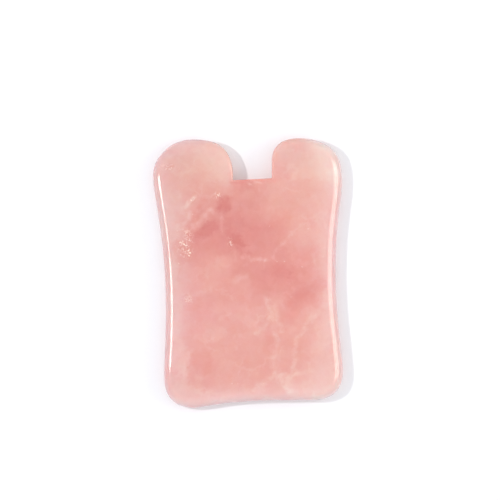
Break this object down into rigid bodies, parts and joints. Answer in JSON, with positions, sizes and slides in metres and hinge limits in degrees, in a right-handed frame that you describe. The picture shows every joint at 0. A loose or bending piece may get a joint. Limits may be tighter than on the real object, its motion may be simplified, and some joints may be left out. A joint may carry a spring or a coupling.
{
  "type": "gua sha scraper",
  "caption": "Flat hand-held massage board of polished rose-pink stone, with hollow long sides, rounded rims and a square notch between rounded lobes.",
  "frame": {"origin": "middle of the board's width and length, on its underside", "axes": "+Z through the thickness, away from the rest face; +Y along the length, towards the lobes and the notch; +X across the width"},
  "size_m": [0.0564, 0.08, 0.006],
  "materials": {
    "rose_quartz": "polished, translucent, with paler veils and small bright inclusions"
  },
  "bodies": {
    "root": {"stone_board": "rose_quartz"}
  },
  "joints": []
}
